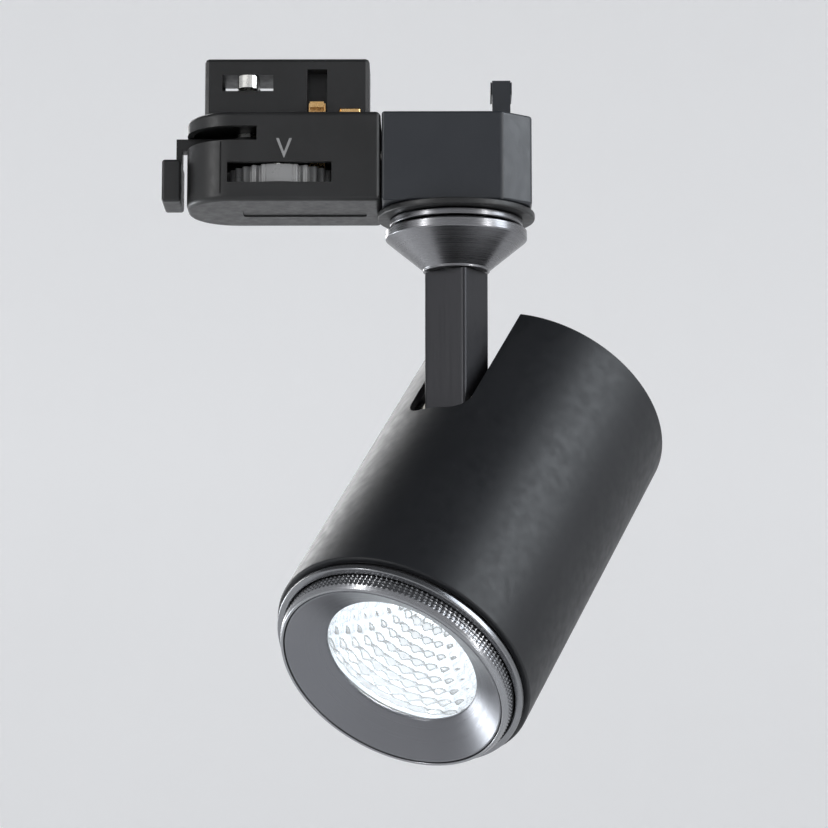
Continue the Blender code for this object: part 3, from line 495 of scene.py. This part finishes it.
def make_module():
    """Plastic shell with the dial's windows, the lever's slot, parting lines and a shallow recess underneath.
    """
    wall = 0.002
    nose_radius = 0.015
    low, high = span("adapter_body")
    body = slab("adapter_body_moulded", nose_outline(low, high, nose_radius), low.z, high.z)
    soften(body, 0.0016, 6, 60)
    finished(body)
    inner_low = low + Vector((wall, wall, wall))
    inner_high = high - Vector((wall, wall, 0))
    hollow = slab("hollow", nose_outline(inner_low, inner_high, nose_radius - wall), inner_low.z, 0.01)
    dial_low, dial_high = span("phase_dial")
    dial_x = (dial_low.x + dial_high.x) / 2
    window_half = 0.0156
    window = block(
        "window",
        (dial_x - window_half, -0.03, dial_low.z - GAP),
        (dial_x + window_half, 0.03, dial_high.z + GAP),
    )
    _, lever_high = span("lock_lever")
    lever_x = joints["lever_turn"]["pos_m"][0]
    arm_half = 0.0026
    arm_margin = 0.0004
    arm_low = high.z - 0.0085
    arm_high = lever_high.z
    swing = block(
        "swing",
        (-0.1, -0.03, arm_low - arm_margin),
        (lever_x + arm_half + 0.0007, arm_half + 0.0007, arm_high + arm_margin),
    )
    carve(body, hollow, window, swing)
    groove = 0.00045
    line_offset = 0.0109
    line_x = low.x + line_offset
    surface = high.y - nose_radius + math.sqrt(nose_radius**2 - (nose_radius - line_offset) ** 2)
    line_foot = low.z + 0.0023
    line_top = arm_low - 2 * arm_margin
    for side in (-1, 1):
        near, far = sorted((side * (surface - groove), side * (surface + wall)))
        parting_low = (line_x - groove / 2, near, line_foot)
        carve(body, block("parting", parting_low, (line_x + groove / 2, far, line_top)))
    rib_half = 0.0045
    recess = block(
        "underside_recess",
        (line_x + 0.006, -rib_half, low.z - 1),
        (high.x - 0.0045, rib_half, low.z + groove),
        0.001,
    )
    carve(body, recess)
    soften(body, 0.00018, 2, 50)
    return settle(body, ADAPTER, "adapter", "black_plastic", finishes["plastic"], "adapter_body")


def make_index_mark():
    """Painted pointer above the dial, on both faces of the module."""
    low, high = span("adapter_body")
    dial_low, dial_high = span("phase_dial")
    middle = (dial_low.x + dial_high.x) / 2 + 0.0014
    foot = low.z + 0.0128
    top = low.z + 0.019
    half = 0.0024
    stroke = 0.00085
    thickness = 0.00006
    outline = [
        (middle, foot),
        (middle + half, top),
        (middle + half - stroke, top),
        (middle, foot + 2.3 * stroke),
        (middle - half + stroke, top),
        (middle - half, top),
    ]
    upright = Matrix.Rotation(math.radians(90), 4, "X")
    for name, side in (("index_mark_front", -1), ("index_mark_back", 1)):
        mark = turn(slab(name, rounded(outline, 0.0003), -thickness, thickness), upright)
        turn(mark, Matrix.Translation((0, side * high.y, 0)))
        settle(mark, ADAPTER, "adapter", "ivory_moulding", finishes["mark"])


def make_block():
    """Painted metal block with chamfered corners, hollow as the CAD block is."""
    low, high = span("supply_block")
    wall = 0.0024
    chamfer_x = 0.0091
    chamfer_y = chamfer_x * 0.75

    def outline(inset):
        right = high.x - inset
        half = high.y - inset
        return [
            (low.x + inset, -half),
            (right - chamfer_x + inset * 0.4, -half),
            (right, -half + chamfer_y - inset * 0.4),
            (right, half - chamfer_y + inset * 0.4),
            (right - chamfer_x + inset * 0.4, half),
            (low.x + inset, half),
        ]

    body = slab("supply_block_cast", outline(0), low.z, high.z)
    soften(body, 0.0009, 5, 25)
    finished(body)
    hollow = slab("hollow", outline(wall), low.z + wall, 0.01)
    hole = lathe("hole", [(0, -1), (0.00525, -1), (0.00525, -0.02), (0, -0.02)], 48)
    carve(body, hollow, hole)
    return settle(body, ADAPTER, "adapter", "dark_paint", finishes["block"], "supply_block")


def make_washer():
    low, high = span("swivel_washer")
    outer = reach("swivel_washer", ADAPTER)
    inner = clearance("swivel_washer", ADAPTER)
    profile = [(inner, high.z), (outer, high.z), (outer, low.z), (inner, low.z)]
    disc = lathe("swivel_disc", rounded(profile, 0.0006), 160)
    return settle(disc, ADAPTER, "adapter", "black_plastic", finishes["plastic"], "swivel_washer")


def make_dial():
    """Thumb wheel with rounded ribs and a plain index boss at the front."""
    low, high = span("phase_dial", DIAL)
    outer = reach("phase_dial", DIAL)
    ribs = 32
    plain = 1.2
    per_rib = 12
    depth = 0.0016
    outline = []
    for index in range(ribs * per_rib):
        rib = index / per_rib
        from_front = min(rib, ribs - rib)
        wave = 0.5 + 0.5 * math.cos(2 * math.pi * rib)
        if from_front < plain:
            radius = outer - 0.1 * depth
        else:
            radius = outer - depth * wave**1.6
        angle = math.radians(270 + 360 * index / (ribs * per_rib))
        outline.append((radius * math.cos(angle), radius * math.sin(angle)))
    dial = slab("phase_dial_ribbed", outline, low.z, high.z)
    soften(dial, 0.0004, 3, 60)
    finished(dial)
    inner = clearance("phase_dial", DIAL)
    carve(dial, lathe("bore", [(0, -1), (inner, -1), (inner, 1), (0, 1)], 32))
    return settle(dial, DIAL, "dial", "black_plastic", finishes["dial"], "phase_dial")


def make_lever():
    """Lever arm in its slot and the ribbed finger tab at the nose."""
    low, high = span("lock_lever", LEVER)
    arm_half = 0.0026
    arm_low = high.z - 0.0036
    hub = 0.0054
    tab_inner = low.x + 0.0058
    neck = 0.0018
    tab_top = low.z + 0.0131
    arm = [
        (tab_inner - neck, -arm_half),
        (-0.0045, -arm_half),
        *arc((0, 0), hub, -150, 150, 30),
        (-0.0045, arm_half),
        (tab_inner - neck, arm_half),
    ]
    lever = slab("lock_lever_moulded", arm, arm_low, high.z)
    neck_box = block("neck", (tab_inner - neck, -arm_half, tab_top - 0.002), (tab_inner, arm_half, high.z))
    tab = block("tab", (low.x, low.y, low.z), (tab_inner, high.y, tab_top))
    soften(tab, 0.0009, 4)
    finished(tab)
    join_on(lever, neck_box, tab)
    bore = clearance("lock_lever", LEVER)
    carve(lever, lathe("bore", [(0, -1), (bore, -1), (bore, 1), (0, 1)], 32))
    grip_count = 4
    grip_pitch = 0.0024
    grip_height = 0.0011
    grip_depth = 0.0004
    side_margin = 0.0014
    grooves = []
    for index in range(grip_count):
        z = low.z + grip_pitch + index * grip_pitch
        grip_low = (low.x - 1, low.y + side_margin, z)
        grip_high = (low.x + grip_depth, high.y - side_margin, z + grip_height)
        grooves.append(block("grip", grip_low, grip_high))
    carve(lever, *grooves)
    soften(lever, 0.0002, 2, 50)
    return settle(lever, LEVER, "lever", "black_plastic", finishes["plastic"], "lock_lever")


# ---------------------------------------------------------------- swivel


def make_collar():
    """Neck ring and cone collar, turned from bar."""
    low, high = span("neck_ring", SWIVEL)
    outer = reach("neck_ring", SWIVEL)
    inner = clearance("neck_ring", SWIVEL)
    profile = [(inner, high.z), (outer, high.z), (outer, low.z), (inner, low.z)]
    ring = lathe("neck_ring_turned", rounded(profile, 0.0004), 160)
    settle(ring, SWIVEL, "swivel", "gunmetal", finishes["gunmetal"], "neck_ring")
    low, high = span("swivel_collar", SWIVEL)
    outer = reach("swivel_collar", SWIVEL)
    inner = clearance("swivel_collar", SWIVEL)
    tip = max(math.hypot(p.x, p.y) for p in points_in("swivel_collar", SWIVEL) if p.z < low.z + 1e-5)
    shoulder = outer - 0.0024
    band_top = high.z - 0.0008
    band_bottom = high.z - 0.0034
    profile = [
        (inner, high.z),
        (shoulder, high.z),
        (shoulder, band_top),
        (outer, band_top),
        (outer, band_bottom),
        (outer - 0.0003, band_bottom - 0.0003),
        (tip, low.z + 0.0006),
        (tip, low.z),
        (inner, low.z),
    ]
    collar = lathe("swivel_collar_turned", rounded(profile, 0.0004), 160)
    return settle(collar, SWIVEL, "swivel", "gunmetal", finishes["gunmetal"], "swivel_collar")


def make_stem():
    """Rectangular bar with rounded corners and a round lower end."""
    _, high = span("stem", SWIVEL)
    pivot_z = joints["tilt"]["pos_m"][2]
    half_width = high.x
    half_depth = high.y
    corner = 0.0012
    outline = [(-half_width, -half_depth), (half_width, -half_depth)]
    outline += [(half_width, half_depth), (-half_width, half_depth)]
    bar = slab("stem_bar", rounded(outline, corner, 6), pivot_z, high.z)
    end_profile = [(0, -half_width), (half_depth, -half_width), (half_depth, half_width), (0, half_width)]
    end = lathe("end", rounded(end_profile, 0.0008), 96)
    across_x = Matrix.Translation((0, 0, pivot_z)) @ Matrix.Rotation(math.radians(90), 4, "Y")
    turn(end, across_x)
    join_on(bar, end)
    bolt = 0.0033
    hole = turn(lathe("hole", [(0, -1), (bolt, -1), (bolt, 1), (0, 1)], 48), across_x)
    wide = 0.0029
    foot = pivot_z + 0.0105
    channel = lathe("channel", [(0, foot), (wide, foot), (wide, 1), (0, 1)], 32)
    narrow = 0.0024
    past_face = 0.02
    outlet = lathe("outlet", [(0, 0), (narrow, 0), (narrow, past_face), (0, past_face)], 32)
    outlet_z = pivot_z + 0.0134
    turn(outlet, Matrix.Translation((0, 0, outlet_z)) @ Matrix.Rotation(math.radians(-90), 4, "X"))
    nipple = 0.00525
    seat = high.z - 0.0085
    socket = lathe("socket", [(0, seat), (nipple, seat), (nipple, 1), (0, 1)], 32)
    carve(bar, channel, outlet, hole, socket)
    soften(bar, 0.00025, 3, 50)
    return settle(bar, SWIVEL, "swivel", "dark_paint", finishes["stem"], "stem")


# ---------------------------------------------------------------- lamp head


def make_housing():
    """Slotted tube. The stem swings in the slot, which is open at the back."""
    low, high = span("head_housing", HEAD)
    outer = reach("head_housing", HEAD)
    wall = 0.0022
    bore = outer - wall
    edge = 0.0007
    profile = [(bore, low.z), (outer, low.z), (outer, high.z), (bore, high.z)]
    tube = lathe("head_housing_tube", rounded(profile, edge, 5), 256)
    slot_half = 0.011
    slot_end = 0.067
    corner = 0.006
    outline = arc((-slot_half + corner, slot_end + corner), corner, 180, 270, 12)
    outline += arc((slot_half - corner, slot_end + corner), corner, 270, 360, 12)
    past_back = 0.13
    outline += [(slot_half, past_back), (-slot_half, past_back)]
    within_bore, past_outside = 0.025, 0.05
    slot = slab("slot", outline, within_bore, past_outside)
    turn(slot, Matrix.Rotation(math.radians(90), 4, "X"))
    carve(tube, slot)
    soften(tube, 0.0003, 3, 60)
    settle(tube, HEAD, "head", "dark_paint", finishes["powder"], "head_housing")
    return bore


def make_front_ring(bore):
    """Stepped ring in the mouth of the housing."""
    low, high = span("front_ring", HEAD)
    lip = 0.0384
    inner = clearance("front_ring", HEAD)
    profile = [
        (inner, high.z),
        (inner, low.z),
        (lip, low.z),
        (lip, -0.0011),
        (lip - 0.0009, -0.0009),
        (lip - 0.0009, -GAP),
        (bore - GAP, -GAP),
        (bore - GAP, high.z),
    ]
    ring = lathe("front_ring_turned", rounded(profile, 0.0004), 224)
    return settle(ring, HEAD, "head", "dark_paint", finishes["ring"], "front_ring")


def make_bezel():
    """Bezel ring with a fine square knurl on its side wall and a plain rounded rim."""
    low, high = span("bezel_ring", HEAD)
    outer = reach("bezel_ring", HEAD)
    inner = clearance("bezel_ring", HEAD)
    knurl_top = low.z + 0.0013
    rows = 4
    row_height = 0.0011
    per_row = 4
    ribs = 144
    per_rib = 4
    depth = 0.00035
    segments = ribs * per_rib
    rim_width = 0.0008
    corners = [(inner, high.z), (inner, low.z), (inner + rim_width, low.z), (outer - depth, knurl_top)]
    rim = rounded(corners, 0.0003, 4)[5:-5]
    profile = [(inner, high.z, 0.0)] + [(radius, height, 0.0) for radius, height in rim]
    for index in range(rows * per_row + 1):
        height = knurl_top + row_height * index / per_row
        groove = 0.5 + 0.5 * math.cos(2 * math.pi * index / per_row)
        profile.append((outer - depth * groove, height, 1.0 - groove))
    profile.append((outer, high.z, 0.0))
    bm = bmesh.new()
    rings = []
    for radius, height, knurled in profile:
        ring = []
        for index in range(segments):
            angle = 2 * math.pi * index / segments
            between_ribs = 0.5 - 0.5 * math.cos(2 * math.pi * index / per_rib)
            here = radius - depth * knurled * between_ribs
            ring.append(bm.verts.new((here * math.cos(angle), here * math.sin(angle), height)))
        rings.append(ring)
    for first, second in zip(rings, rings[1:] + rings[:1]):
        for index in range(segments):
            following = (index + 1) % segments
            bm.faces.new([first[index], first[following], second[following], second[index]])
    ring = new_piece("bezel_ring_knurled", bm)
    return settle(ring, HEAD, "bezel", "dark_paint", finishes["bezel"], "bezel_ring")


def make_baffle():
    """Conical glare baffle with a short lip round the aperture."""
    high = span("glare_baffle", HEAD)[1]
    front = span("bezel_ring", HEAD)[0].z + GAP
    outer = reach("glare_baffle", HEAD)
    aperture = clearance("glare_baffle", HEAD)
    lip_depth = min(p.z for p in points_in("glare_baffle", HEAD) if math.hypot(p.x, p.y) < aperture + 1e-5)
    skirt = 0.0015
    profile = [
        (outer, high.z),
        (outer, front),
        (outer - 0.0004, front),
        (aperture + 0.0007, lip_depth - 0.0005),
        (aperture, lip_depth),
        (aperture, lip_depth + 0.001),
        (outer - skirt, front + 0.0034),
        (outer - skirt, high.z),
    ]
    cone = lathe("glare_baffle_spun", rounded(profile, 0.0003), 192)
    return settle(cone, HEAD, "bezel", "baffle_satin", finishes["baffle"], "glare_baffle")


def make_reflector():
    """Faceted reflector cup: staggered rows of domed cells."""
    low, high = span("reflector", HEAD)
    throat = clearance("reflector", HEAD)
    flange = reach("reflector", HEAD)
    front = low.z + 0.0012
    back = high.z
    mouth = 0.0275
    rows, per_row = 9, 4
    cells, per_cell = 30, 6
    dome = 0.00042
    segments = cells * per_cell
    thickness = 0.0011
    bm = bmesh.new()
    rings = []

    def ring_at(radius, depth, row, along):
        """One ring of points. Along runs from 0 to 1 over a row of cells, which bulge between their edges."""
        ring = []
        stagger = 0.5 * (row % 2)
        for index in range(segments):
            angle = 2 * math.pi * index / segments
            cell = (index / per_cell + stagger) % 1.0
            rise = dome * 16 * cell * (1 - cell) * along * (1 - along)
            here = radius - rise
            ring.append(bm.verts.new((here * math.cos(angle), here * math.sin(angle), depth)))
        return ring

    for row in range(rows):
        for step in range(per_row):
            share = (row + step / per_row) / rows
            radius = throat + (mouth - throat) * share**0.72
            rings.append(ring_at(radius, back + (front - back) * share, row, step / per_row))
    for radius, depth in (
        (mouth, front),
        (mouth, low.z),
        (flange, low.z),
        (flange, front),
        (mouth + thickness, front + 0.0002),
    ):
        rings.append(ring_at(radius, depth, 0, 0))
    for row in range(rows - 1, 0, -1):
        share = row / rows
        radius = throat + (mouth - throat) * share**0.72 + thickness
        rings.append(ring_at(radius, back + (front - back) * share + 0.0002, 0, 0))
    rings.append(ring_at(throat + thickness, back, 0, 0))
    for first, second in zip(rings, rings[1:] + rings[:1]):
        for index in range(segments):
            following = (index + 1) % segments
            bm.faces.new([first[index], first[following], second[following], second[index]])
    cup = new_piece("reflector_faceted", bm)
    # Its finish carries a faint painted glow, not light of its own.
    return settle(cup, HEAD, "head", "bright_reflector", finishes["mirror"], "reflector")


def make_glass():
    low, high = span("front_glass", HEAD)
    outer = reach("front_glass", HEAD)
    profile = [(0, low.z), (outer, low.z), (outer, high.z), (0, high.z)]
    disc = lathe("front_glass_disc", rounded(profile, 0.0003), 160)
    return settle(disc, HEAD, "head", "clear_glass", finishes["glass"], "front_glass")


def make_emitter():
    """Domed silicone over the lit chips."""
    low, high = span("cob_emitter", HEAD)
    outer = reach("cob_emitter", HEAD)
    profile = [(0, high.z), (outer, high.z)]
    steps = 10
    rim_share = 0.35
    dome_share = 0.65
    for index in range(steps):
        share = index / steps
        radius = outer * math.cos(share * math.pi / 2) ** 0.5
        profile.append((radius, high.z + (low.z - high.z) * (rim_share + dome_share * share)))
    profile.append((0, low.z))
    dome = lathe("cob_emitter_dome", profile, 96)
    return settle(dome, HEAD, "head", "phosphor", finishes["emitter"], "cob_emitter")


def make_rear_cover():
    """Recessed cover with rounded vents and a notch for the stem."""
    low, high = span("rear_cover", HEAD)
    outer = reach("rear_cover", HEAD)
    profile = [(0, low.z), (outer, low.z), (outer, high.z), (0, high.z)]
    cover = lathe("rear_cover_vented", rounded(profile, 0.0005), 192)
    notch_half = 0.0112
    notch_depth = -0.0212
    below, above = 0.1, 0.12
    notch = block("notch", (-notch_half, -0.05, below), (notch_half, notch_depth, above))
    soften(notch, 0.003, 6, 60)
    cutters = [finished(notch)]
    vent_count = 7
    pitch = 0.0068
    vent_half = 0.0016
    for index in range(vent_count):
        x = (index - (vent_count - 1) / 2) * pitch
        arch = 0.0285 * math.sqrt(1 - (x / 0.036) ** 2)
        low_y = -0.0145 if abs(x) < notch_half + pitch else -arch * 0.55
        high_y = arch * 0.86 if abs(x) > 0.004 else 0.021
        outline = arc((x, high_y - vent_half), vent_half, 0, 180, 12)
        outline += arc((x, low_y + vent_half), vent_half, 180, 360, 12)
        cutters.append(slab("vent", outline, below, above))
    screw_circle = 0.0334
    screw_hole = 0.0017
    places = []
    for angle in (90, 205, 335):
        turned = math.radians(angle)
        places.append((screw_circle * math.cos(turned), screw_circle * math.sin(turned)))
    for place in places:
        hole = [(0, below), (screw_hole, below), (screw_hole, above), (0, above)]
        cutters.append(lathe("hole", hole, 32, place))
    carve(cover, *cutters)
    soften(cover, 0.0002, 2, 60)
    settle(cover, HEAD, "head", "dark_paint", finishes["powder"], "rear_cover")
    for number, place in enumerate(places, 1):
        make_pan_screw(f"cover_screw_{number}", place)


def make_pan_screw(node, place):
    """Pan head screw with a cross recess."""
    low, high = span(node, HEAD)
    shank = 0.0014
    head = 0.0027
    head_low = high.z - 0.0019
    seat = head_low + 0.0003
    brim = head_low + 0.0009
    dome = 0.001
    steps = 6
    profile = [(0, low.z), (shank, low.z), (shank, seat), (head, seat), (head, brim)]
    for step in range(1, steps):
        angle = math.radians(90 * step / steps)
        profile.append((head * math.cos(angle * 0.75), brim + dome * math.sin(angle)))
    profile.append((0, high.z))
    screw = lathe(f"{node}_cross", profile, 48, place)
    arm_reach = 0.0015
    arm_half = 0.00028
    arm_depth = 0.0009
    arms = []
    for angle in (0, 90):
        arm_low = (-arm_reach, -arm_half, high.z - arm_depth)
        arm = block("arm", arm_low, (arm_reach, arm_half, high.z + 0.001))
        spun = Matrix.Rotation(math.radians(45 + angle), 4, "Z")
        arms.append(turn(arm, Matrix.Translation((*place, 0)) @ spun))
    carve(screw, *arms)
    settle(screw, HEAD, "head", "zinc_steel", finishes["steel"], node)


# ---------------------------------------------------------------- CAD nodes that stay


CARRIED = {
    "plastic": ["contact_tongue"],
    "block": ["block_lid", "track_hook"],
    "brass": ["neutral_contact", "earth_contact_left", "earth_contact_right", "phase_contact"],
    "ivory": ["terminal_block", "friction_washer_left", "friction_washer_right", "cob_holder"],
    "white": ["cob_board", "driver_module"],
    "grey": ["thermal_pad"],
    "alloy": ["heat_sink"],
    "rubber": ["glass_gasket"],
    "jacket": ["supply_lead", "stem_lead", "driver_lead"],
    "steel": [
        "body_screw_1",
        "body_screw_2",
        "lock_cam",
        "dial_spindle",
        "swivel_nipple",
        "nipple_nut",
        "spring_washer",
        "pivot_bolt",
        "pivot_nut",
        "pivot_bracket",
        "bracket_screw_1",
        "bracket_screw_2",
        "holder_screw_1",
        "holder_screw_2",
    ],
}
SOFT_EDGES = {"contact_tongue": 0.0002, "block_lid": 0.0002, "track_hook": 0.0003, "pivot_bracket": 0.0003}


def finish_carried_nodes():
    for finish, names in CARRIED.items():
        for name in names:
            node = frame["nodes"][name]
            node.data.materials.clear()
            node.data.materials.append(finishes[finish])
            if name in SOFT_EDGES:
                soften(node, SOFT_EDGES[name], 2, 50)


# ---------------------------------------------------------------- studio


def make_floor():
    """A round pale studio bowl: a flat floor that sweeps up into a wall all round."""
    level = cad_low.z - 0.55
    flat = 2.4
    sweep = 1.2
    wall = 3.4
    profile = [(0, level), (flat, level)]
    profile += [(flat + r, level + sweep + h) for r, h in arc((0, 0), sweep, 270, 360, 16)][1:]
    profile.append((flat + sweep, level + wall))
    floor = lathe("studio_floor", profile, 96, closed=False)
    floor.data.shade_smooth()
    pale = Finish("pale_floor", (0.74, 0.74, 0.745), 0.85)
    pale.vary_colour(3, (0.735, 0.735, 0.74), (0.745, 0.745, 0.75))
    pale.glow((0.97, 0.98, 1.0), 0.27)
    floor.data.materials.append(pale.done())


def area_light(name, place, size, power, colour, target):
    data = bpy.data.lights.new(name, "AREA")
    data.shape = "RECTANGLE"
    data.size, data.size_y = size
    data.energy = power
    data.color = colour
    lamp = bpy.data.objects.new(name, data)
    lamp.location = place
    lamp.rotation_euler = (Vector(target) - Vector(place)).to_track_quat("-Z", "Y").to_euler()
    lamp.visible_camera = False
    bpy.context.scene.collection.objects.link(lamp)


def make_lights():
    world = bpy.data.worlds.new("studio")
    world.use_nodes = True
    world.node_tree.nodes["Background"].inputs["Color"].default_value = (0.9, 0.94, 1.0, 1)
    world.node_tree.nodes["Background"].inputs["Strength"].default_value = 0.1
    bpy.context.scene.world = world
    aim = (cad_low + cad_high) / 2
    area_light("key_right", aim + Vector((1.3, -0.3, 0.82)), (0.55, 1.1), 16, (0.88, 0.94, 1.0), aim)
    area_light("rim_back_left", aim + Vector((-0.6, 1.35, 0.7)), (0.3, 1.2), 8, (1.0, 1.0, 1.0), aim)
    area_light("low_left", aim + Vector((-1.15, 0.68, -0.35)), (0.35, 0.35), 7, (0.93, 0.97, 1.0), aim)
    area_light("edge_right", aim + Vector((1.2, -0.95, 0.1)), (0.06, 1.3), 8, (1.0, 1.0, 1.0), aim)
    area_light("edge_left", aim + Vector((-1.2, -0.9, 0.6)), (0.06, 1.3), 9, (1.0, 1.0, 1.0), aim)


def make_camera():
    data = bpy.data.cameras.new("viewer")
    data.lens = LENS
    data.sensor_width = SENSOR
    data.clip_start = 0.05
    camera = bpy.data.objects.new("viewer", data)
    camera.location = VIEWER
    aim = (cad_low + cad_high) / 2
    camera.rotation_euler = (aim - VIEWER).to_track_quat("-Z", "Y").to_euler()
    bpy.context.scene.collection.objects.link(camera)
    bpy.context.scene.camera = camera
    bpy.context.scene.view_settings.view_transform = "Standard"


make_camera()
make_floor()
make_lights()
make_module()
make_index_mark()
make_block()
make_washer()
make_dial()
make_lever()
make_collar()
make_stem()
head_bore = make_housing()
make_front_ring(head_bore)
make_bezel()
make_baffle()
make_reflector()
make_glass()
make_emitter()
make_rear_cover()
finish_carried_nodes()
